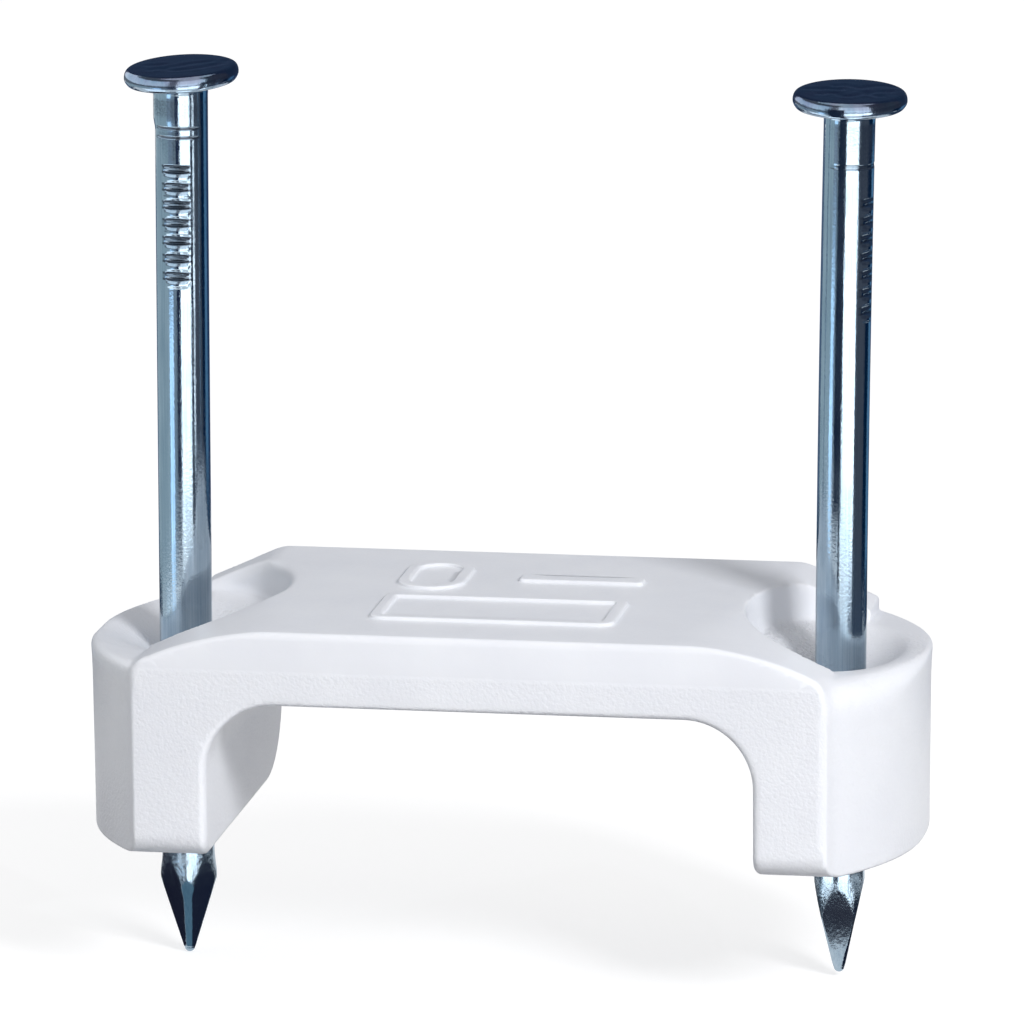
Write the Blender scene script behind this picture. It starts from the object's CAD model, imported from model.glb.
import math
import bpy
import numpy as np
import openvdb
from mathutils import Matrix, Vector


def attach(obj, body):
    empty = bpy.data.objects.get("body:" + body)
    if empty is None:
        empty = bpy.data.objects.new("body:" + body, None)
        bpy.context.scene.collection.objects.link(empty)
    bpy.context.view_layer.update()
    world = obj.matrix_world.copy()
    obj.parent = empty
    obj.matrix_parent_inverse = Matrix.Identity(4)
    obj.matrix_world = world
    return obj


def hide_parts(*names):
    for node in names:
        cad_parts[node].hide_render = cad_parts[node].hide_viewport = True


# A white cable staple with two zinc plated nails, standing as it comes out of the box.
# Shapes are worked out in millimetres and made in metres. +Z runs up the nails, the cable along Y.
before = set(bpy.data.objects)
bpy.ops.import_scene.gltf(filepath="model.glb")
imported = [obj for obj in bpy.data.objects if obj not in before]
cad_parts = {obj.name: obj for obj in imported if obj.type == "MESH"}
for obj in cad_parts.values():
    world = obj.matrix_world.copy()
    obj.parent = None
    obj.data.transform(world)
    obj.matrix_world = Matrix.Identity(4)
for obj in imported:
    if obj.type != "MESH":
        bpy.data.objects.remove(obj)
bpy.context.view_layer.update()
millimetre = 0.001


def addObject(name, data):
    thing = bpy.data.objects.new(name, data)
    bpy.context.scene.collection.objects.link(thing)
    return thing


# The angle that the photograph was taken from, as turned and raised round the staple.
photoView = {
    "azimuth": 9.889,          # degrees round to the right of the front
    "elevation": 12.380,       # degrees above level
    "roll": -0.369,            # degrees
    "distance": 349.116,       # mm from the middle of the view
    "pixelsPerMm": 28.508,     # at that distance
    "right": 0.05251,          # mm, middle of the view
    "up": 10.6360,
    "rise": 0.17,              # mm, added to the camera's height
    "imageSize": 1024,         # pixels
    "sensor": 36,              # mm
    "clip": (0.01, 10),        # m
}


def placeCamera(view):
    azimuth, elevation, roll = (math.radians(view[k]) for k in ("azimuth", "elevation", "roll"))
    right = Vector((math.cos(azimuth), math.sin(azimuth), 0))
    up = Vector((-math.sin(azimuth) * math.sin(elevation), math.cos(azimuth) * math.sin(elevation),
                 math.cos(elevation)))
    ahead = Vector((-math.sin(azimuth) * math.cos(elevation), math.cos(azimuth) * math.cos(elevation),
                    -math.sin(elevation)))
    place = right * view["right"] + up * view["up"] - ahead * view["distance"]
    place = (place + Vector((0, 0, view["rise"]))) * millimetre
    turnedRight = right * math.cos(roll) + up * math.sin(roll)
    turnedUp = up * math.cos(roll) - right * math.sin(roll)
    camera = bpy.data.cameras.new("camera")
    camera.sensor_width = view["sensor"]
    camera.lens = view["sensor"] * view["distance"] * view["pixelsPerMm"] / view["imageSize"]
    camera.clip_start, camera.clip_end = view["clip"]
    holder = addObject("camera", camera)
    columns = (turnedRight, turnedUp, -ahead, place)
    holder.matrix_world = Matrix([[column[row] for column in columns] for row in range(3)]
                                 + [[0, 0, 0, 1]])
    bpy.context.scene.camera = holder


placeCamera(photoView)
print("camera placed")


# Each shape is a field of distances in mm, negative inside. These join two of them with a
# true radius, so that every edge of the moulding is as round as the real one.
def roundCut(a, b, radius):
    return np.minimum(-radius, np.maximum(a, b)) + np.hypot(np.maximum(a + radius, 0),
                                                          np.maximum(b + radius, 0))


def roundJoin(a, b, radius):
    return np.maximum(radius, np.minimum(a, b)) - np.hypot(np.maximum(radius - a, 0),
                                                         np.maximum(radius - b, 0))


def easeIn(low, high, value):
    t = np.clip((value - low) / (high - low), 0, 1)
    return t * t * (3 - 2 * t)


saddleLook = {
    "halfDepth": 7.0,
    "wallX": 9.525,            # channel wall
    "channelTop": 5.47,
    "channelCorner": 2.4,
    "channelEdge": 0.28,       # radius of the edges of the channel
    "creaseX": 12.025,         # where the bowed end starts
    "endBow": 2.69,
    "bowFullness": 2.36,       # 2 is an arc, more is fuller
    "endDraft": 0.5,           # degrees
    "rimFlare": (0.04, 0.2, 0.35),  # size, how far below the rim, and its reach
    "topZ": 8.07,
    "partingZ": 6.87,
    "bandDraft": 5.0,
    "shoulderX": 9.425,
    "shoulderRun": 2.6,
    "shoulderDrop": 1.2,
    "shoulderBreak": 0.9,      # radius where the top turns down, at the front
    "breakAtBack": 0.15,       # the part of it that is left at the back
    "frontEase": (6.0, -6.0),  # y over which this and the long edges change from back to front
    "rimZ": 6.575,
    "rimFall": (0.029, 0.0009),     # the rim falls by a y - b y y towards the back
    "rimEdge": (0.16, 0.32, 0.9),   # radius, and what the front adds at the left and right end
    "rimEase": (0.5, -5.0),
    "stepEdge": 0.07,
    "stepGrowth": 4,           # how much rounder the step is at the front
    "stepEase": (-3.5, -6.5),
    "longEdge": 0.22,
    "longEdgeLoss": 0.12,      # how much sharper it is at the ends, below the shoulders
    "lossEase": ((10.8, 11.9), (6.5, 5.2)),     # in x and in z
    "backEdge": 0.12,
    "footFront": 0.8,
    "footBack": 3.0,
    "nailX": 11.645,
    "boreR": 0.975,
    "boreFlare": 0.2,
    "boreEdge": 0.12,
    "bowlEdge": 0.1,           # where a bowl meets the wall of its seat
    "bowlBlend": 0.25,         # where it meets the floor
    "leanFrom": 0.6,           # height above a seat's floor where its wall has its reach
    "lipEase": (-2.5, 0.5),
    "outerLipEase": ((0.0, 1.5), (1.5, -1.0)),  # outwards from the nail, and in y
    "gridLow": (-14.75, -7, 0),
    "gridHigh": (14.75, 7, 8.2),
    "voxel": 0.075,            # grid of the skin
    "quickVoxel": 0.25,
    "flatness": 0.01,          # how much the skin is thinned on flat faces
}
# One entry for each seat, left and right. A seat is an oval pocket, with a bowl round its nail.
seatLook = {
    -1: {
        "reach": (3.36, 4.85), "back": 0.55, "floorZ": 6.70, "wallLean": 6.0, "fillet": 0.2,
        "lip": (0.07, 0.40),       # radius at the front and at the back
        "outerLip": 0.12,          # what is added at the outer front
        "bowlOut": 2.55, "bowlIn": 2.5, "bowlFront": 3.9, "bowlBack": 3.9, "bowlDepth": 0.9,
    },
    1: {
        "reach": (3.17, 4.65), "back": 0.0, "floorZ": 6.70, "wallLean": 4.0, "fillet": 0.16,
        "lip": (0.05, 0.09),
        "outerLip": 0.03,
        "bowlOut": 2.25, "bowlIn": 2.3, "bowlFront": 3.75, "bowlBack": 4.3, "bowlDepth": 1.0,
    },
}
# Plain raised marks on the top: a blank frame, an oval ring behind it, and a bar.
markLook = {
    "height": 0.12,
    "line": 0.45,
    "frame": (8.6, 3.9),
    "ring": (2.4, 4.2),
    "bar": (4.4, 0.9),
    "gap": 0.9,
    "corners": (0.3, 0.2),     # of the frame and of the bar
    "edge": 0.07,
    "foot": 0.06,              # radius where a mark meets the top
    "root": 0.5,               # how far a mark goes into the plastic
}


def boxDistance(x, y, centre, size, corner=0.0):
    dx = np.abs(x - centre[0]) - size[0] / 2 + corner
    dy = np.abs(y - centre[1]) - size[1] / 2 + corner
    return np.hypot(np.maximum(dx, 0), np.maximum(dy, 0)) + np.minimum(np.maximum(dx, dy), 0) - corner


def markDistance(x, y, look):
    frameLength, frameWidth = look["frame"]
    ringWidth, ringLength = look["ring"]
    frontY = -(frameWidth + look["gap"]) / 2
    backY = frontY + (frameWidth + ringLength) / 2 + look["gap"]
    half = look["line"] / 2
    frameCorner, barCorner = look["corners"]
    frameSize = (frameLength - look["line"], frameWidth - look["line"])
    frameLine = np.abs(boxDistance(x, y, (0, frontY), frameSize, frameCorner)) - half
    ringX = -(frameLength - ringWidth) / 2
    along = np.maximum(np.abs(y - backY) - (ringLength - ringWidth) / 2, 0)
    ringLine = np.abs(np.hypot(x - ringX, along) - (ringWidth - look["line"]) / 2) - half
    barLength, barWidth = look["bar"]
    bar = boxDistance(x, y, (frameLength / 2 - barLength / 2, backY), (barLength, barWidth), barCorner)
    return np.minimum(np.minimum(frameLine, ringLine), bar)


def rimLevel(y, look):
    fall, hollow = look["rimFall"]
    return look["rimZ"] - fall * y + hollow * y * y


def seatDistance(x, y, z, side, look, seat):
    # Negative where this seat, its bowl and its bore take the plastic away.
    dx = side * x - look["nailX"]
    lean = math.tan(math.radians(seat["wallLean"]))
    reach, length = seat["reach"]
    along = y - seat["back"]
    oval = np.maximum(np.hypot(dx / reach, along / length), 1e-3)
    wall = oval * (oval - 1) / np.maximum(np.hypot(dx / reach ** 2, along / length ** 2), 1e-3)
    wall = (wall - (z - seat["floorZ"] - look["leanFrom"]) * lean) * math.cos(math.atan(lean))
    pocket = roundCut(wall, seat["floorZ"] - z, seat["fillet"])
    reachX = np.where(dx > 0, seat["bowlOut"], seat["bowlIn"])
    reachY = np.where(y < 0, seat["bowlFront"], seat["bowlBack"])
    bowl = np.hypot(dx / reachX, y / reachY)
    around = np.hypot(dx, y)
    mean = around / np.maximum(bowl, 1e-4)
    slope = seat["bowlDepth"] / (mean - look["boreR"])
    cone = (rimLevel(y, look) - z + (around - mean) * slope) / np.hypot(1, slope)
    taken = roundJoin(pocket, roundCut(cone, wall, look["bowlEdge"]), look["bowlBlend"])
    bore = around - look["boreR"]
    flare = (around - look["boreR"] - look["boreFlare"] + z) * math.sqrt(0.5)
    bore = np.minimum(bore, np.where(z < 1, flare, 1.0))
    return roundJoin(taken, bore, look["boreEdge"])


def saddleDistance(x, y, z, look=saddleLook):
    ax, ay = np.abs(x), np.abs(y)
    part = np.clip(ay / look["halfDepth"], 0, 1)
    endX = look["creaseX"] + look["endBow"] * (1 - part ** look["bowFullness"])
    slope = look["endBow"] * look["bowFullness"] / look["halfDepth"] * part ** (look["bowFullness"] - 1)
    rimZ = rimLevel(y, look)
    below = rimZ - z
    flareSize, flareAt, flareReach = look["rimFlare"]
    flare = flareSize * np.exp(-((below - flareAt) / flareReach) ** 2)
    endX = endX - np.maximum(below, 0) * math.tan(math.radians(look["endDraft"])) - flareSize + flare
    bow = (ax - endX) / np.sqrt(1 + slope ** 2)
    rimEdge, leftEdge, rightEdge = look["rimEdge"]
    rimEdge = rimEdge + np.where(x > 0, rightEdge, leftEdge) * easeIn(*look["rimEase"], y)
    end = roundCut(bow, z - rimZ, rimEdge)
    run, drop = look["shoulderRun"], look["shoulderDrop"]
    shoulder = ((ax - look["shoulderX"]) * drop + (z - look["topZ"]) * run) / math.hypot(run, drop)
    front = easeIn(*look["frontEase"], y)
    least = look["breakAtBack"]
    deck = roundCut(z - look["topZ"], shoulder, look["shoulderBreak"] * (least + (1 - least) * front))
    step = look["stepEdge"] * (1 + look["stepGrowth"] * easeIn(*look["stepEase"], y))
    deck = roundCut(deck, ax - look["creaseX"], step)
    body = roundJoin(deck, end, step)
    lean = math.tan(math.radians(look["bandDraft"]))
    face = np.maximum(ay - look["halfDepth"],
                      (ay - look["halfDepth"] + (z - look["partingZ"]) * lean) / math.hypot(1, lean))
    profile = np.where(y < 0, roundCut(face, -z, look["footFront"]), roundCut(face, -z, look["footBack"]))
    lossX, lossZ = look["lossEase"]
    longEdge = look["longEdge"] - look["longEdgeLoss"] * easeIn(*lossX, ax) * easeIn(*lossZ, z)
    body = roundCut(body, profile, look["backEdge"] + (longEdge - look["backEdge"]) * front)
    channel = roundCut(ax - look["wallX"], z - look["channelTop"], look["channelCorner"])
    body = roundCut(body, -channel, look["channelEdge"])
    marks = roundCut(markDistance(x, y, markLook), z - look["topZ"] - markLook["height"], markLook["edge"])
    marks = np.maximum(marks, look["topZ"] - markLook["root"] - z)
    body = roundJoin(body, marks, markLook["foot"])
    outerX, outerY = look["outerLipEase"]
    for side, seat in seatLook.items():
        crisp, soft = seat["lip"]
        lip = crisp + (soft - crisp) * easeIn(*look["lipEase"], y)
        lip = lip + seat["outerLip"] * easeIn(*outerX, ax - look["nailX"]) * easeIn(*outerY, y)
        body = np.where(x * side > 0, roundCut(body, -seatDistance(x, y, z, side, look, seat), lip), body)
    return body


def slopesOf(distance, points, step=0.01):
    slopes = np.empty_like(points)
    for axis in range(3):
        ahead, behind = points.copy(), points.copy()
        ahead[:, axis] += step
        behind[:, axis] -= step
        slopes[:, axis] = (distance(*ahead.T) - distance(*behind.T)) / (2 * step)
    return slopes


def meshFromDistance(name, distance, low, high, voxel, flatness):
    # Fills a grid with the distances, skins it, and slides each vertex onto the true surface.
    low, high = np.array(low) - 3 * voxel, np.array(high) + 3 * voxel
    counts = np.ceil((high - low) / voxel).astype(int)
    x, y, z = (low[axis] + voxel * np.arange(counts[axis]) for axis in range(3))
    values = distance(x[:, None, None], y[None, :, None], z[None, None, :]).astype(np.float32)
    grid = openvdb.FloatGrid(3 * voxel)
    grid.copyFromArray(np.clip(values, -3 * voxel, 3 * voxel))
    points, triangles, quads = grid.convertToPolygons(0.0, flatness)
    points = points.astype(float) * voxel + low
    for _ in range(3):
        slopes = slopesOf(distance, points)
        gap = distance(*points.T)
        move = gap / np.maximum((slopes ** 2).sum(1), 0.2)
        points -= slopes * np.clip(move, -voxel, voxel)[:, None]
    normals = slopesOf(distance, points)
    normals /= np.maximum(np.linalg.norm(normals, axis=1, keepdims=True), 1e-6)
    mesh = bpy.data.meshes.new(name)
    mesh.from_pydata((points * millimetre).tolist(), [], triangles.tolist() + quads.tolist())
    mesh.update()
    first = mesh.polygons[0]
    if Vector(normals[first.vertices[0]]).dot(first.normal) < 0:
        mesh.flip_normals()
    mesh.shade_smooth()
    mesh.normals_split_custom_set_from_vertices(normals.tolist())
    piece = addObject(name, mesh)
    print(name, len(points), "points", len(triangles) + 2 * len(quads), "triangles")
    return piece


saddleVoxel = saddleLook["voxel"]
saddlePiece = meshFromDistance("moulded_saddle", saddleDistance, saddleLook["gridLow"],
                               saddleLook["gridHigh"], saddleVoxel, saddleLook["flatness"])


# Effects that both finishes use are node groups. Places in them are in mm from the origin.
whiteLook = {
    "pale": (0.80, 0.815, 0.86), "dull": (0.765, 0.78, 0.83), "mottleSize": 2.6,
    "roughness": (0.34, 0.46),
    "partingBand": (-0.28, -0.1),                  # where the texture ends, from the parting line
    "grainSize": 0.075, "grainHeight": 0.010,      # fine texture of the lower half of the mould
    "specksSize": 0.14, "specksHeight": 0.018,
    "upperGrain": 0.2,                             # the part of the grain that the upper half has
    "seatGrain": 7.0,                              # how much rougher the seats are
    "seatReach": (2.9, 3.3), "seatFloor": (5.4, 5.7),   # where that ends, round a nail and in height
    "leftSeat": 0.15, "outerSeat": 0.1,            # how much of it the left seat and the outer sides have
    "rippleSize": 0.9, "rippleHeight": 0.006,      # slow waves of the smooth upper half
    "softness": 0.20, "softScale": 0.0007, "softRadius": (1.0, 0.95, 0.9),
}
zincLook = {
    "pale": (0.41, 0.50, 0.58), "dull": (0.29, 0.385, 0.47), "drawSize": 0.055, "drawStretch": 60.0,
    "roughness": (0.08, 0.17),
    "grainSize": 0.08, "grainHeight": 0.0026,
    "drawHeight": 0.0018,
    "patchSize": 0.5, "patchStretch": 3.0, "tintSize": 0.7,
    "pointGrain": 0.02, "pointSize": 0.11, "pointRoughness": 0.08,
    "headGrain": 0.006, "headSize": 0.3, "headColour": (0.12, 0.20, 0.29), "headTint": (0.17, 0.18, 0.28),
    "headBand": (0.25, 0.45), "rimBand": (-0.25, 0.6),  # from the underside of the head
    "pointBand": (-1.9, -1.3),                          # from the feet
    "markColour": (0.05, 0.06, 0.08),
}


def newFinish(name):
    finish = bpy.data.materials.new(name)
    finish.use_nodes = True
    return finish, finish.node_tree.nodes, finish.node_tree.links


def sumsFor(tree):
    # Short ways to add a node of arithmetic to a tree.
    def work(operation, *values):
        node = tree.nodes.new("ShaderNodeMath")
        node.operation = operation
        for slot, value in enumerate(values):
            if isinstance(value, bpy.types.NodeSocket):
                tree.links.new(value, node.inputs[slot])
            else:
                node.inputs[slot].default_value = value
        return node.outputs[0]

    def times(first, second):
        return work("MULTIPLY", first, second)

    return work, times


def startGroup(name, inputs, outputs, treeKind="ShaderNodeTree"):
    tree = bpy.data.node_groups.new(name, treeKind)
    for direction, sockets in (("INPUT", inputs), ("OUTPUT", outputs)):
        for label, kind in sockets.items():
            tree.interface.new_socket(label, in_out=direction, socket_type="NodeSocket" + kind)
    return tree, tree.nodes.new("NodeGroupInput"), tree.nodes.new("NodeGroupOutput")


def grainGroup():
    # Noise of a given size in mm, drawn out along the nails by the stretch.
    tree, given, result = startGroup(
        "surface grain", {"Place": "Vector", "Size": "Float", "Stretch": "Float", "Detail": "Float"},
        {"Height": "Float"})
    times = sumsFor(tree)[1]
    divisor = tree.nodes.new("ShaderNodeCombineXYZ")
    tree.links.new(given.outputs["Size"], divisor.inputs[0])
    tree.links.new(given.outputs["Size"], divisor.inputs[1])
    tree.links.new(times(given.outputs["Size"], given.outputs["Stretch"]), divisor.inputs[2])
    scaled = tree.nodes.new("ShaderNodeVectorMath")
    scaled.operation = "DIVIDE"
    tree.links.new(given.outputs["Place"], scaled.inputs[0])
    tree.links.new(divisor.outputs[0], scaled.inputs[1])
    noise = tree.nodes.new("ShaderNodeTexNoise")
    noise.inputs["Scale"].default_value = 1.0
    tree.links.new(scaled.outputs[0], noise.inputs["Vector"])
    tree.links.new(given.outputs["Detail"], noise.inputs["Detail"])
    tree.links.new(noise.outputs[0], result.inputs["Height"])
    return tree


def bandGroup():
    # Rises from 0 to 1 as the place goes up from low to high.
    tree, given, result = startGroup(
        "height band", {"Place": "Vector", "Low": "Float", "High": "Float"}, {"Mask": "Float"})
    parts = tree.nodes.new("ShaderNodeSeparateXYZ")
    tree.links.new(given.outputs["Place"], parts.inputs[0])
    ramp = tree.nodes.new("ShaderNodeMapRange")
    ramp.interpolation_type = "SMOOTHSTEP"
    tree.links.new(parts.outputs[2], ramp.inputs["Value"])
    tree.links.new(given.outputs["Low"], ramp.inputs["From Min"])
    tree.links.new(given.outputs["High"], ramp.inputs["From Max"])
    tree.links.new(ramp.outputs[0], result.inputs["Mask"])
    return tree


grainTree, bandTree = grainGroup(), bandGroup()


def placeInMm(tree):
    coordinates = tree.nodes.new("ShaderNodeTexCoord")
    scaled = tree.nodes.new("ShaderNodeVectorMath")
    scaled.operation = "SCALE"
    scaled.inputs["Scale"].default_value = 1000.0
    tree.links.new(coordinates.outputs["Object"], scaled.inputs[0])
    return scaled.outputs[0]


def useGroup(tree, group, place, **values):
    node = tree.nodes.new("ShaderNodeGroup")
    node.node_tree = group
    tree.links.new(place, node.inputs["Place"])
    for label, value in values.items():
        node.inputs[label].default_value = value
    return node.outputs[0]


def grainOf(tree, place, size, stretch=1.0, detail=3.0):
    return useGroup(tree, grainTree, place, Size=size, Stretch=stretch, Detail=detail)


def bandFrom(tree, place, start, band):
    low, high = band
    return useGroup(tree, bandTree, place, Low=start + low, High=start + high)


def mixColours(tree, amount, first, second):
    node = tree.nodes.new("ShaderNodeMix")
    node.data_type = "RGBA"
    tree.links.new(amount, node.inputs[0])
    for slot, colour in ((6, first), (7, second)):
        if isinstance(colour, bpy.types.NodeSocket):
            tree.links.new(colour, node.inputs[slot])
        else:
            node.inputs[slot].default_value = (*colour, 1)
    return node.outputs[2]


def spread(tree, value, low, high, fromLow=0.3, fromHigh=0.7):
    node = tree.nodes.new("ShaderNodeMapRange")
    tree.links.new(value, node.inputs["Value"])
    for label, number in (("From Min", fromLow), ("From Max", fromHigh), ("To Min", low), ("To Max", high)):
        node.inputs[label].default_value = number
    return node.outputs[0]


def pressIn(tree, height, shader):
    # Height in mm, turned into a slope of the surface.
    bump = tree.nodes.new("ShaderNodeBump")
    bump.inputs["Strength"].default_value = 1.0
    bump.inputs["Distance"].default_value = millimetre
    tree.links.new(height, bump.inputs["Height"])
    tree.links.new(bump.outputs[0], shader.inputs["Normal"])


def whitePolyethylene(look):
    finish, nodes, links = newFinish("white_polyethylene")
    tree = finish.node_tree
    work, times = sumsFor(tree)
    shader, place = nodes["Principled BSDF"], placeInMm(tree)
    upper = bandFrom(tree, place, saddleLook["partingZ"], look["partingBand"])
    lower = work("SUBTRACT", 1.0, upper)
    parts = nodes.new("ShaderNodeSeparateXYZ")
    links.new(place, parts.inputs[0])
    acrossNail = work("SUBTRACT", work("ABSOLUTE", parts.outputs[0]), saddleLook["nailX"])
    fromNail = work("SQRT", work("ADD", times(acrossNail, acrossNail),
                                 times(parts.outputs[1], times(parts.outputs[1], 0.5))))
    seat = spread(tree, fromNail, 1.0, 0.0, *look["seatReach"])
    seat = times(seat, bandFrom(tree, place, 0.0, look["seatFloor"]))
    seat = times(seat, spread(tree, parts.outputs[0], look["leftSeat"], 1.0, -2.0, 2.0))
    seat = times(seat, spread(tree, acrossNail, 1.0, look["outerSeat"], -1.0, 0.2))
    mottle = spread(tree, grainOf(tree, place, look["mottleSize"], detail=4.0), 0.0, 1.0)
    links.new(mixColours(tree, mottle, look["pale"], look["dull"]), shader.inputs["Base Color"])
    grain = grainOf(tree, place, look["grainSize"], detail=2.0)
    specks = grainOf(tree, place, look["specksSize"], detail=1.0)
    ripple = grainOf(tree, place, look["rippleSize"], detail=2.0)
    rough = work("ADD", times(grain, look["grainHeight"]), times(specks, look["specksHeight"]))
    rough = times(rough, work("ADD", lower, times(seat, look["seatGrain"])))
    height = work("ADD", rough, times(ripple, look["rippleHeight"]))
    upperHeight = look["grainHeight"] * look["upperGrain"]
    height = work("ADD", height, times(times(grain, upper), upperHeight))
    pressIn(tree, height, shader)
    low, high = look["roughness"]
    links.new(spread(tree, specks, low, high), shader.inputs["Roughness"])
    shader.inputs["Subsurface Weight"].default_value = look["softness"]
    shader.inputs["Subsurface Scale"].default_value = look["softScale"]
    shader.inputs["Subsurface Radius"].default_value = look["softRadius"]
    return finish


def brightZinc(name, nail, look):
    finish, nodes, links = newFinish("bright_zinc_" + name)
    tree = finish.node_tree
    work, times = sumsFor(tree)
    shader, place = nodes["Principled BSDF"], placeInMm(tree)
    headFoot = nail["length"] - nail["headT"] - nail["out"]
    draw = grainOf(tree, place, look["drawSize"], look["drawStretch"])
    grain = grainOf(tree, place, look["grainSize"], 1.3, 2.0)
    patches = grainOf(tree, place, look["patchSize"], look["patchStretch"], 4.0)
    head = bandFrom(tree, place, headFoot, look["headBand"])
    rim = bandFrom(tree, place, headFoot, look["rimBand"])
    point = work("SUBTRACT", 1.0, bandFrom(tree, place, 0.0, look["pointBand"]))
    shade = work("ADD", spread(tree, draw, 0.0, 0.7), spread(tree, patches, 0.0, 0.5))
    colour = mixColours(tree, work("MINIMUM", shade, 1.0), look["pale"], look["dull"])
    tints = spread(tree, grainOf(tree, place, look["tintSize"]), 0.0, 1.0, 0.4, 0.6)
    headColour = mixColours(tree, tints, look["headColour"], look["headTint"])
    colour = mixColours(tree, times(rim, spread(tree, patches, 0.6, 1.0)), colour, headColour)
    colour = mixColours(tree, markMask(tree, place, nail), colour, look["markColour"])
    links.new(colour, shader.inputs["Base Color"])
    dents = grainOf(tree, place, look["headSize"])
    facets = grainOf(tree, place, look["pointSize"], 1.6, 4.0)
    height = work("ADD", times(grain, look["grainHeight"]), times(draw, look["drawHeight"]))
    height = work("ADD", height, times(times(dents, head), look["headGrain"]))
    height = work("ADD", height, times(times(facets, point), look["pointGrain"]))
    pressIn(tree, height, shader)
    low, high = look["roughness"]
    roughness = work("ADD", spread(tree, patches, low, high), times(point, look["pointRoughness"]))
    links.new(roughness, shader.inputs["Roughness"])
    shader.inputs["Metallic"].default_value = 1.0
    return finish


def markMask(tree, place, nail):
    # 1 in the two sharp lines of each grip mark and in the ring lines above them, which look dark.
    work, times = sumsFor(tree)
    parts = tree.nodes.new("ShaderNodeSeparateXYZ")
    tree.links.new(place, parts.inputs[0])
    x, y, z = parts.outputs
    a, b, c = nail["axis"]
    axisX = work("ADD", work("ADD", a, times(z, b)), times(times(z, z), c))
    turn = math.radians(nail["gripTurn"])
    outward = work("SUBTRACT", times(work("SUBTRACT", x, axisX), math.sin(turn)),
                   times(y, math.cos(turn)))
    side = spread(tree, outward, 0.0, 1.0,
                  nail["shankR"] - nail["gripDepth"] * 1.5, nail["shankR"] - nail["gripDepth"] * 1.2)
    first = nail["length"] - nail["gripAt"] - nail["out"]
    steps = work("DIVIDE", work("SUBTRACT", first, z), gripLook["pitch"])
    nearest = work("MINIMUM", work("MAXIMUM", work("ROUND", steps), 0.0), nail["gripCount"] - 1.0)
    away = work("ABSOLUTE", times(work("SUBTRACT", steps, nearest), gripLook["pitch"]))
    line = spread(tree, work("ABSOLUTE", work("SUBTRACT", away, gripLook["lineGap"] / 2)), 1.0, 0.0,
                  0.025, 0.06)
    between = spread(tree, away, 0.5, 0.0, gripLook["lineGap"] * 0.4, gripLook["lineGap"] * 0.6)
    line = work("MAXIMUM", line, between)
    grips = times(times(line, side), nail["gripShade"])
    ringZ = first + nail["ringLead"]
    ring = work("ABSOLUTE", work("SUBTRACT", z, ringZ))
    ring = work("ABSOLUTE", work("SUBTRACT", ring, nail["ringGap"] / 2))
    ring = times(spread(tree, ring, 1.0, 0.0, 0.03, 0.065), nail["ringShade"])
    arc = (part * nail["shankR"] for part in nail["ringArc"])
    ring = times(ring, spread(tree, outward, 0.0, 1.0, *arc))
    return work("MAXIMUM", grips, times(ring, 0.85))


whiteFinish = whitePolyethylene(whiteLook)


# Each nail is one closed skin of rings, from the point up. Lengths are in mm from the point.
# Each flat is given as pairs of height above the tip and distance from the axis, in mm. The blunt
# ridges between them lie a + b t from the axis at a height t.
evenFlats = [(0, 0.165), (0.43, 0.27), (1.15, 0.44), (2.1, 0.66), (2.55, 0.81), (3.0, 0.875), (3.6, 0.93)]
nailLook = {
    "left_nail": {
        "length": 31.78, "out": 5.21, "shankR": 0.922, "headR": 1.99, "headT": 0.58,
        "axis": (-11.6113, 0.00129, 0.000107),   # x = a + b z + c z z, with z from the feet
        "tiltFront": 3.4, "tiltLeft": 2.9,      # degrees
        "pointTurn": 53.0, "burr": 0.075,
        "sideFlats": evenFlats, "frontFlats": evenFlats,
        "ridges": (0.145, 0.31),
        "gripTurn": -2.0, "gripAt": 3.52, "gripCount": 7, "gripDepth": 0.125, "gripShade": 0.85,
        "ringLead": 1.28, "ringGap": 0.32, "ringDepth": 0.03, "ringShade": 1.0, "ringArc": (0.5, 0.8),
        "seed": 4, "neck": 0.06,
        "creases": [
            [(-1.15, 0.10), (-0.72, 0.20)],
            [(-0.45, -0.55), (-0.1, -0.75), (0.4, -0.62), (0.95, -0.25), (1.4, 0.15), (1.45, 0.6)],
            [(-0.9, -0.6), (-0.2, -0.2), (0.3, 0.25), (0.9, 0.5)],
        ],
        "creaseDepth": 0.016,
    },
    "right_nail": {
        "length": 31.27, "out": 5.04, "shankR": 0.89, "headR": 1.975, "headT": 0.58,
        "axis": (11.5771, 0.0042033, 0.00035737),
        "tiltFront": 3.4, "tiltLeft": 0.0,
        "pointTurn": 5.0, "burr": 0.05,
        "sideFlats": [(0, 0.165), (0.11, 0.187), (1.83, 0.544), (3.52, 0.92), (4.4, 1.1)],
        "frontFlats": [(0, 0.165), (1.6, 0.56), (2.4, 0.765), (3.1, 0.89), (4.4, 1.1)],
        "ridges": (0.136, 0.36),
        "gripTurn": 68.0, "gripAt": 3.8, "gripCount": 7, "gripDepth": 0.09, "gripShade": 0.4,
        "ringLead": 1.28, "ringGap": 0.07, "ringDepth": 0.02, "ringShade": 0.35, "ringArc": (-0.6, 0.9),
        "seed": 9, "neck": 0.0,
        "creases": [
            [(-0.9, -0.62), (-0.7, -0.42), (-0.45, -0.44), (-0.2, -0.75), (0.05, -0.8), (0.3, -0.6),
             (0.6, -0.2), (1.0, 0.05), (1.35, 0.15)],
            [(-1.5, 0.05), (-1.2, 0.1), (-0.7, 0.16), (-0.4, 0.14)],
            [(-0.6, 0.65), (-0.3, 0.8), (0.0, 0.66), (0.25, 0.5), (0.5, 0.68), (0.8, 0.9), (1.05, 0.95),
             (1.45, 0.85)],
            [(0.55, -0.1), (0.75, -0.4), (1.1, -0.6)],
        ],
        "creaseDepth": 0.018,
    },
}
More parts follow.
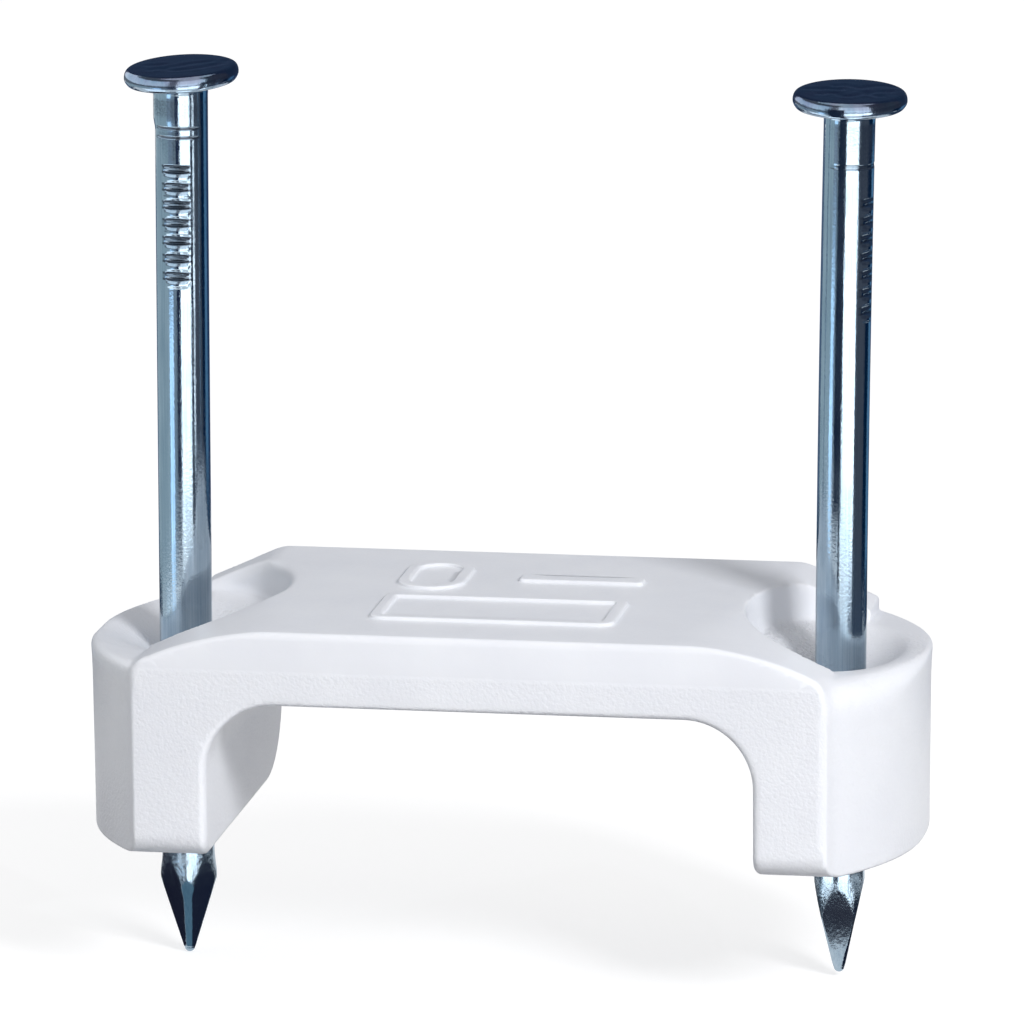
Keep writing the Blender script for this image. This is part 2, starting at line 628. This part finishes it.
pointLook = {"tipR": 0.19, "blend": 0.02, "step": 0.03, "burrAt": 2.85, "burrReach": 0.5}
gripLook = {"pitch": 0.63, "lineGap": 0.21, "lineWidth": 0.085, "bulge": 0.035, "around": 160,
            "quickAround": 48, "step": 0.022}
# The rim of a head is a little uneven, and is cut back on two sides of its lower edge.
rimLook = {"wave": 0.006, "cutBack": 0.03, "cutAt": 0.05, "cutReach": 0.12}
creaseLook = {"width": 0.15, "lip": 0.35, "lipAt": 0.32, "lipWidth": 0.14}    # a groove with raised sides


def softMin(a, b, blend):
    h = np.clip(0.5 + 0.5 * (b - a) / blend, 0, 1)
    return b + (a - b) * h - blend * h * (1 - h)


def pointRadius(theta, t, look):
    # Four flats pinched into the end of the wire, with blunt ridges left between them.
    swell = np.sin(2 * (theta - math.radians(look["pointTurn"]))) ** 8
    burr = look["burr"] * (0.15 + 0.85 * swell)
    burr = burr * np.exp(-((t - pointLook["burrAt"]) / pointLook["burrReach"]) ** 2)
    low, slope = look["ridges"]
    radius = softMin(look["shankR"] + burr, low + slope * t + 0 * theta, pointLook["blend"])
    for k in range(4):
        along, away = zip(*look["frontFlats" if k % 2 else "sideFlats"])
        facing = np.cos(theta - math.radians(look["pointTurn"] + 90 * k))
        flat = np.interp(t, along + (5, 40), away + (2, 9)) / np.maximum(facing, 0.05)
        radius = softMin(radius, flat, pointLook["blend"])
    tip = pointLook["tipR"]
    dome = np.sqrt(np.maximum(tip ** 2 - np.maximum(tip - t, 0) ** 2, 0)) + np.maximum(t - tip, 0) * 3
    return np.minimum(radius, dome)


def headProfile(look):
    # Radius and height from the underside of the head, up over the rim to the middle of the top.
    shank, head, thick = look["shankR"], look["headR"], look["headT"]
    knots = np.array([
        (shank, -0.45), (shank + 0.01, -0.30), (shank + 0.035, -0.16), (shank + 0.10, -0.05),
        (shank + 0.25, 0.0), (shank + 0.42, 0.0), (head - 0.32, 0.0), (head - 0.13, 0.004),
        (head - 0.06, 0.03), (head - 0.02, 0.08), (head - 0.006, 0.14), (head, 0.21),
        (head - 0.002, thick - 0.28), (head - 0.015, thick - 0.19), (head - 0.045, thick - 0.11),
        (head - 0.10, thick - 0.045), (head - 0.19, thick - 0.008), (head * 0.72, thick),
        (head * 0.45, thick), (head * 0.2, thick), (0.0, thick)])
    lengths = np.r_[0, np.cumsum(np.hypot(*np.diff(knots, axis=0).T))]
    rimEnd, rimRows, topRows = lengths[16], 84, 46      # knot 16, counted from 0, starts the flat top
    even = np.r_[np.linspace(0, rimEnd, rimRows)[:-1], np.linspace(rimEnd, lengths[-1], topRows)]
    smooth = np.stack([np.interp(even, lengths, knots[:, i]) for i in range(2)], axis=1)
    for _ in range(3):
        smooth[1:-1] = (smooth[:-2] + 2 * smooth[1:-1] + smooth[2:]) / 4
    return smooth


def creaseDepth(x, y, look):
    # Wavy creases that forging left in the top of the head, each along a few points.
    depth = np.zeros_like(x)
    for crease in look["creases"]:
        near = np.full_like(x, 9.0)
        for (ax, ay), (bx, by) in zip(crease, crease[1:]):
            length = math.hypot(bx - ax, by - ay)
            along = np.clip(((x - ax) * (bx - ax) + (y - ay) * (by - ay)) / length ** 2, 0, 1)
            near = np.minimum(near, np.hypot(x - ax - along * (bx - ax), y - ay - along * (by - ay)))
        groove = np.exp(-(near / creaseLook["width"]) ** 2)
        raised = creaseLook["lip"] * np.exp(-((near - creaseLook["lipAt"]) / creaseLook["lipWidth"]) ** 2)
        depth += look["creaseDepth"] * (groove - raised)
    return depth


def nailRings(look):
    around = gripLook["around"]
    theta = np.linspace(0, 2 * math.pi, around, endpoint=False)[None, :]
    headFoot = look["length"] - look["headT"]
    gripLow = look["length"] - look["gripAt"] - gripLook["pitch"] * look["gripCount"]
    gripHigh = look["length"] - look["gripAt"] + look["ringLead"] + 0.4
    tipR = pointLook["tipR"]
    # rows lie closest along the grip marks and the point
    heights = np.r_[tipR * (1 - np.cos(np.linspace(0.12, 1.4, 9))), np.arange(tipR, 4.4, pointLook["step"]),
                    np.arange(4.6, gripLow, 0.5), np.arange(gripLow, gripHigh, gripLook["step"]),
                    np.arange(gripHigh, headFoot - 0.48, 0.1)]
    heights = np.unique(np.round(heights, 4))[:, None]
    shankR = pointRadius(theta, heights, look)
    ringAt = look["length"] - look["gripAt"] + look["ringLead"]
    line = np.abs(np.abs(heights - ringAt) - look["ringGap"] / 2)
    facing = np.sin(theta - math.radians(look["gripTurn"]) + math.pi)
    shankR = shankR - look["ringDepth"] * easeIn(0.06, 0.0, line) * easeIn(*look["ringArc"], facing)
    shankR = shankR + look["neck"] * easeIn(ringAt, ringAt + 0.5, heights) * (0.5 - 0.5 * np.cos(theta))
    profile = headProfile(look)
    rng = np.random.default_rng(look["seed"])
    waves = sum(rng.normal() * np.cos(k * theta + rng.uniform(0, 6.28)) / k for k in (2, 3, 4, 5))
    grow = easeIn(look["shankR"] + 0.1, look["headR"] - 0.3, profile[:, :1])
    headR = profile[:, :1] * (1 + rimLook["wave"] * waves * grow)
    swollen = look["neck"] * (1 - grow) * (0.5 - 0.5 * np.cos(theta))
    headR = headR + swollen * easeIn(0.0, -0.3, profile[:, 1:])
    lower = np.exp(-((profile[:, 1:] - rimLook["cutAt"]) / rimLook["cutReach"]) ** 2) * grow
    headR = headR - rimLook["cutBack"] * lower * (1 + np.cos(2 * theta + rng.uniform(0, 6.28)))
    headZ = np.repeat(profile[:, 1:] + headFoot, around, axis=1)
    onTop = easeIn(look["headT"] - 0.04, look["headT"], profile[:, 1:])
    onTop = onTop * easeIn(1.0, 0.86, headR / look["headR"])
    headZ = headZ - onTop * creaseDepth(headR * np.cos(theta), headR * np.sin(theta), look)
    return theta, np.vstack([shankR, headR]), np.vstack([np.repeat(heights, around, axis=1), headZ])


def nailPiece(name, look):
    theta, radii, levels = nailRings(look)
    rings, around = radii.shape
    x, y = radii * np.cos(theta), radii * np.sin(theta)
    weight = easeIn(look["length"] - look["headT"] - 0.5, look["length"] - look["headT"] - 0.1, levels)
    levels = levels + weight * (y * math.tan(math.radians(look["tiltFront"]))
                                + x * math.tan(math.radians(look["tiltLeft"])))
    points = np.stack([x, y, levels], axis=2)[:-1].reshape(-1, 3)
    rings -= 1
    top = points[-around:].mean(0) * (0, 0, 1)
    points = np.vstack([points, (0, 0, 0), top])
    faces = []
    for ring in range(rings - 1):
        for i in range(around):
            j = (i + 1) % around
            low, high = ring * around, (ring + 1) * around
            faces.append((low + i, low + j, high + j, high + i))
    for i in range(around):
        j = (i + 1) % around
        faces.append((j, i, rings * around))
        faces.append(((rings - 1) * around + i, (rings - 1) * around + j, rings * around + 1))
    mesh = bpy.data.meshes.new(name)
    mesh.from_pydata((points * millimetre).tolist(), [], faces)
    mesh.update()
    mesh.shade_smooth()
    return addObject(name, mesh)


def gripTree():
    # Presses a row of grip marks into one side of a shank that stands on the origin.
    tree, given, result = startGroup(
        "gripMarks",
        {"Geometry": "Geometry", "Count": "Int", "Pitch": "Float", "First Mark": "Float", "Depth": "Float",
         "Line Gap": "Float", "Line Width": "Float", "Bulge": "Float", "Turn": "Float",
         "Shank Radius": "Float", "Seed": "Int", "Finish": "Material"},
        {"Geometry": "Geometry"}, "GeometryNodeTree")
    nodes, links, value = tree.nodes, tree.links, given.outputs
    work, times = sumsFor(tree)

    def ease(amount, start, stop, first, last):
        node = nodes.new("ShaderNodeMapRange")
        node.interpolation_type = "SMOOTHSTEP"
        for slot, number in enumerate((amount, start, stop, first, last)):
            if isinstance(number, bpy.types.NodeSocket):
                links.new(number, node.inputs[slot])
            else:
                node.inputs[slot].default_value = number
        return node.outputs[0]

    place = nodes.new("ShaderNodeSeparateXYZ")
    links.new(nodes.new("GeometryNodeInputPosition").outputs[0], place.inputs[0])
    x, y, z = place.outputs
    sine, cosine = work("SINE", value["Turn"]), work("COSINE", value["Turn"])
    outward = work("SUBTRACT", times(x, sine), times(y, cosine))
    # the nearest mark, and how far this point lies above or below it
    steps = work("ROUND", work("DIVIDE", work("SUBTRACT", value["First Mark"], z), value["Pitch"]))
    mark = work("MINIMUM", work("MAXIMUM", steps, 0.0), work("SUBTRACT", value["Count"], 1.0))
    chance = nodes.new("FunctionNodeRandomValue")
    chance.data_type = "FLOAT"
    minimum, maximum = [s for s in chance.inputs if s.type == "VALUE"][:2]
    minimum.default_value, maximum.default_value = -1.0, 1.0
    links.new(mark, chance.inputs["ID"])
    links.new(value["Seed"], chance.inputs["Seed"])
    luck = [s for s in chance.outputs if s.type == "VALUE"][0]
    markZ = work("SUBTRACT", value["First Mark"], times(mark, value["Pitch"]))
    away = work("ABSOLUTE", work("SUBTRACT", z, markZ))
    depth = times(value["Depth"], work("ADD", 1.0, times(luck, 0.15)))
    # two sharp lines with a low ridge between them, and a rounded land beside them
    half = times(value["Line Gap"], 0.5)
    outside = work("ADD", half, times(value["Line Width"], 0.7))
    groove = ease(away, half, outside, 1.0, 0.0)
    groove = work("SUBTRACT", groove, ease(away, 0.0, half, 0.4, 0.0))
    land = ease(away, outside, times(value["Pitch"], 0.43), 0.0, 1.0)
    past = times(value["Pitch"], 0.72)
    land = times(land, ease(away, times(value["Pitch"], 0.5), past, 1.0, 0.0))
    land = times(land, ease(z, value["First Mark"], work("ADD", value["First Mark"], half), 1.0, 0.0))
    floor = work("SUBTRACT", value["Shank Radius"], depth)
    cutDepth = work("MAXIMUM", work("SUBTRACT", outward, floor), 0.0)
    inward = times(times(cutDepth, -1.0), groove)
    near = work("MINIMUM", work("DIVIDE", cutDepth, work("MAXIMUM", depth, 0.00001)), 1.0)
    move = work("ADD", inward, times(times(land, value["Bulge"]), near))
    offset = nodes.new("ShaderNodeCombineXYZ")
    links.new(times(move, sine), offset.inputs[0])
    links.new(times(times(move, cosine), -1.0), offset.inputs[1])
    # only the shank is marked, never the head above it
    onShank = work("LESS_THAN", z, work("ADD", value["First Mark"], value["Pitch"]))
    pressed = nodes.new("GeometryNodeSetPosition")
    links.new(value["Geometry"], pressed.inputs["Geometry"])
    links.new(onShank, pressed.inputs["Selection"])
    links.new(offset.outputs[0], pressed.inputs["Offset"])
    whole = nodes.new("GeometryNodeRealizeInstances")
    links.new(pressed.outputs[0], whole.inputs[0])
    finish = nodes.new("GeometryNodeSetMaterial")
    links.new(whole.outputs[0], finish.inputs["Geometry"])
    links.new(value["Finish"], finish.inputs["Material"])
    links.new(finish.outputs[0], result.inputs[0])
    return tree


def pressGrips(piece, look, tree, finish):
    values = {
        "Count": look["gripCount"], "Pitch": gripLook["pitch"] * millimetre,
        "First Mark": (look["length"] - look["gripAt"]) * millimetre,
        "Depth": look["gripDepth"] * millimetre, "Line Gap": gripLook["lineGap"] * millimetre,
        "Line Width": gripLook["lineWidth"] * millimetre, "Bulge": gripLook["bulge"] * millimetre,
        "Turn": math.radians(look["gripTurn"]),
        "Shank Radius": look["shankR"] * millimetre, "Seed": look["seed"], "Finish": finish,
    }
    press = piece.modifiers.new("grip marks", "NODES")
    press.node_group = tree
    for item in tree.interface.items_tree:
        if item.in_out == "INPUT" and item.name in values:
            press[item.identifier] = values[item.name]
    bpy.context.view_layer.update()
    plain = bpy.data.meshes.new_from_object(piece.evaluated_get(bpy.context.evaluated_depsgraph_get()))
    piece.modifiers.remove(press)
    piece.data = plain


def standNail(piece, look):
    # Lifts the nail to its place, leaning and bowed as its axis says.
    co = np.empty(len(piece.data.vertices) * 3)
    piece.data.vertices.foreach_get("co", co)
    co = co.reshape(-1, 3) / millimetre
    co[:, 2] -= look["out"]
    a, b, c = look["axis"]
    z = co[:, 2]
    slope = b + 2 * c * z
    co[:, 2] = z - slope * co[:, 0]
    co[:, 0] += a + b * z + c * z * z
    piece.data.vertices.foreach_set("co", (co * millimetre).ravel())
    piece.data.update()
    piece.data.shade_smooth()


marksTree = gripTree()
nailPieces = {}
for nailName, look in nailLook.items():
    nail = nailPiece("driven_" + nailName, look)
    pressGrips(nail, look, marksTree, brightZinc(nailName, look, zincLook))
    standNail(nail, look)
    nailPieces[nailName] = nail
    print(nailName, len(nail.data.vertices), "points")

saddlePiece.data.materials.append(whiteFinish)


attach(saddlePiece, "root")
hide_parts("saddle")
for nailName, nail in nailPieces.items():
    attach(nail, "root")
    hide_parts(nailName)


studio = {
    "floorZ": -5.21,          # mm, under the points
    "floorSize": 2.4,         # m
    "floorColour": (0.43, 0.43, 0.435),
    "worldLight": 0.63,
    "floorGlow": 0.67,        # what the camera and the metal see besides the light on the floor
    "keyAzimuth": 43.0, "keyElevation": 33.0,       # degrees
    "keyDistance": 0.32, "keySize": 0.07, "keyAim": 0.008,      # m
    "keyPower": 0.70,         # W
    "cardRadius": 70.0,       # mm
    "cardSteps": 25, "floorCardSteps": 13,
    "floorCardLift": 0.05,    # mm
}
# Reflectors and flags round the staple, seen only in its gloss. Each has its azimuths in degrees,
# its heights in mm, and its level in red, green and blue.
studioCards = {
    "bright_reflector": ((-7, 60), (-4.6, 15), (3.3, 3.35, 3.4)),
    "thin_flag": ((-24, -7), (-5.2, 22), (0.02, 0.035, 0.08)),
    "pale_reflector": ((-56, -39), (-5.2, 6.5), (1.4, 1.9, 2.4)),
    "upper_left_flag": ((-56, -39), (6.5, 15), (0.36, 0.42, 0.5)),
    "left_flag": ((-130, -56), (-5.2, 15), (0.53, 0.64, 0.68)),
    "middle_flag": ((-39, -24), (-5.2, 12), (0.34, 0.40, 0.46)),
    "far_left_flag": ((-180, -130), (-5.2, 12), (0.12, 0.18, 0.28)),
    "side_flag": ((60, 104), (-5.2, 12), (0.10, 0.11, 0.14)),
    "edge_flag": ((104, 128), (-5.2, 12), (0.0, 0.02, 0.06)),
    "edge_reflector": ((128, 152), (-5.2, 12), (0.14, 0.30, 0.48)),
    "far_right_flag": ((152, 180), (-5.2, 12), (0.03, 0.06, 0.14)),
    "high_left_reflector": ((-140, -24), (25, 75), (1.2, 1.3, 1.4)),
    "high_left_flag": ((-140, -39), (15, 25), (0.24, 0.27, 0.30)),
    "high_reflector": ((-7, 55), (20, 34), (1.8, 1.9, 2.0)),
    "high_flag": ((55, 132), (12, 34), (0.06, 0.07, 0.10)),
    "level_flag": ((-7, 55), (15, 20), (0.06, 0.07, 0.10)),
    "middle_level_flag": ((-39, -24), (12, 25), (0.2, 0.22, 0.25)),
    "upper_thin_flag": ((-24, -7), (22, 75), (0.3, 0.3, 0.33)),
    "top_reflector": ((-5, 55), (34, 75), (1.6, 1.6, 1.65)),
    "top_left_flag": ((-140, -5), (75, 160), (0.20, 0.21, 0.23)),
    "top_right_flag": ((55, 120), (34, 160), (0.09, 0.10, 0.13)),
    "back_flag": ((120, 220), (12, 160), (0.04, 0.065, 0.12)),
}
# Small flags in front of one nail, where the two need different streaks. These add which nail,
# and how far from it in mm.
nearCards = {
    "right_nail_flag": ((-36, -1), (8.4, 28), (0.02, 0.035, 0.07), 1, 14),
    "left_nail_flag": ((47, 60), (3, 28), (0.09, 0.10, 0.13), -1, 26),
}
# Reflectors and flags for the points, flat on the floor. Each has its azimuths, its reach from a
# nail in mm, its level, and which nails it goes round.
floorCards = {
    "front_reflector": ((2, 50), (9, 26), (3.3, 3.35, 3.4), (-1, 1)),
    "front_flag": ((-20, 2), (9, 24), (0.02, 0.035, 0.08), (-1, 1)),
    "right_flag": ((50, 140), (9, 19), (0.05, 0.06, 0.08), (-1, 1)),
    "far_flag": ((52, 110), (56, 90), (0.08, 0.11, 0.16), (-1,)),
    "left_near_flag": ((-125, -45), (0.4, 9), (0.02, 0.02, 0.04), (-1,)),
    "right_near_flag": ((50, 140), (0.3, 9), (0.02, 0.025, 0.05), (-1, 1)),
    "ridge_flag": ((-40, 50), (0.3, 9), (0.16, 0.28, 0.36), (-1,)),
    "left_mid_flag": ((-140, -34), (9, 24), (0.03, 0.03, 0.05), (-1,)),
    "grip_reflector": ((-80, -22), (27, 52), (2.0, 2.1, 2.2), (-1,)),
    "back_floor_flag": ((110, 250), (52, 68), (0.04, 0.07, 0.12), (-1, 1)),
    "front_near_flag": ((-50, 50), (1.9, 9), (0.05, 0.05, 0.07), (1,)),
}


def makeWorld():
    world = bpy.data.worlds.new("studio")
    bpy.context.scene.world = world
    world.use_nodes = True
    nodes, links = world.node_tree.nodes, world.node_tree.links
    background = nodes["Background"]
    level = nodes.new("ShaderNodeMix")
    level.data_type = "FLOAT"
    links.new(seenDirectly(world.node_tree), level.inputs[0])
    level.inputs[2].default_value = studio["worldLight"]
    level.inputs[3].default_value = 1.0
    links.new(level.outputs[0], background.inputs["Strength"])
    background.inputs["Color"].default_value = (1, 1, 1, 1)


def seenDirectly(tree):
    # 1 where the camera looks straight at it, or sees it in metal or through glass.
    path = tree.nodes.new("ShaderNodeLightPath")
    work = sumsFor(tree)[0]
    direct = work("MAXIMUM", path.outputs["Is Camera Ray"], path.outputs["Is Glossy Ray"])
    return work("MAXIMUM", direct, path.outputs["Is Transmission Ray"])


def makeFloor():
    size = studio["floorSize"] / 2
    mesh = bpy.data.meshes.new("studio_floor")
    z = studio["floorZ"] * millimetre
    corners = [(-size, -size, z), (size, -size, z), (size, size, z), (-size, size, z)]
    mesh.from_pydata(corners, [], [(0, 1, 2, 3)])
    floor = addObject("studio_floor", mesh)
    finish, nodes, links = newFinish("floor_paper")
    shader = nodes["Principled BSDF"]
    shader.inputs["Base Color"].default_value = (*studio["floorColour"], 1)
    shader.inputs["Roughness"].default_value = 0.9
    times = sumsFor(finish.node_tree)[1]
    glow = times(seenDirectly(finish.node_tree), studio["floorGlow"])
    links.new(glow, shader.inputs["Emission Strength"])
    shader.inputs["Emission Color"].default_value = (1, 1, 1, 1)
    mesh.materials.append(finish)


def cardFinish(name, level):
    finish, nodes, links = newFinish(name)
    shader = nodes["Principled BSDF"]
    shader.inputs["Base Color"].default_value = (0, 0, 0, 1)
    shader.inputs["Specular IOR Level"].default_value = 0
    strength = max(level)
    shader.inputs["Emission Color"].default_value = (*(v / strength for v in level), 1)
    shader.inputs["Emission Strength"].default_value = strength
    return finish


def placeCard(name, corners, level):
    # A strip of corner pairs, seen by reflections and by nothing else.
    mesh = bpy.data.meshes.new(name)
    mesh.from_pydata(corners, [], [(k, k + 2, k + 3, k + 1) for k in range(0, len(corners) - 2, 2)])
    mesh.materials.append(cardFinish(name, level))
    holder = addObject(name, mesh)
    for seenBy in ("camera", "diffuse", "shadow", "transmission", "volume_scatter"):
        setattr(holder, "visible_" + seenBy, False)


def makeCard(name, azimuths, heights, level, side=0, radius=studio["cardRadius"]):
    low, high = (value * millimetre for value in heights)
    middle = side * saddleLook["nailX"]
    corners = []
    for turn in np.radians(np.linspace(*azimuths, studio["cardSteps"])):
        x, y = (middle + radius * math.sin(turn)) * millimetre, -radius * math.cos(turn) * millimetre
        corners += [(x, y, low), (x, y, high)]
    placeCard(name, corners, level)


def makeFloorCard(name, azimuths, reaches, level, sides):
    z = (studio["floorZ"] + studio["floorCardLift"]) * millimetre
    for side in sides:
        corners = []
        for turn in np.radians(np.linspace(*azimuths, studio["floorCardSteps"])):
            for reach in reaches:
                corners.append(((side * saddleLook["nailX"] + reach * math.sin(turn)) * millimetre,
                                -reach * math.cos(turn) * millimetre, z))
        placeCard(name + ("_right" if side > 0 else "_left"), corners, level)


def makeKey():
    lamp = bpy.data.lights.new("key", "AREA")
    lamp.size = studio["keySize"]
    lamp.energy = studio["keyPower"]
    azimuth, elevation = math.radians(studio["keyAzimuth"]), math.radians(studio["keyElevation"])
    reach = studio["keyDistance"]
    holder = addObject("key", lamp)
    holder.location = (reach * math.sin(azimuth) * math.cos(elevation),
                       -reach * math.cos(azimuth) * math.cos(elevation), reach * math.sin(elevation))
    aim = Vector((0, 0, studio["keyAim"])) - holder.location
    holder.rotation_euler = aim.to_track_quat("-Z", "Y").to_euler()
    holder.visible_glossy = False      # the reflectors give the gloss instead


makeWorld()
makeFloor()
makeKey()
for cardName, card in (studioCards | nearCards).items():
    makeCard(cardName, *card)
for cardName, card in floorCards.items():
    makeFloorCard(cardName, *card)
print("studio set")
bpy.context.scene.view_settings.view_transform = "Standard"
bpy.context.view_layer.update()
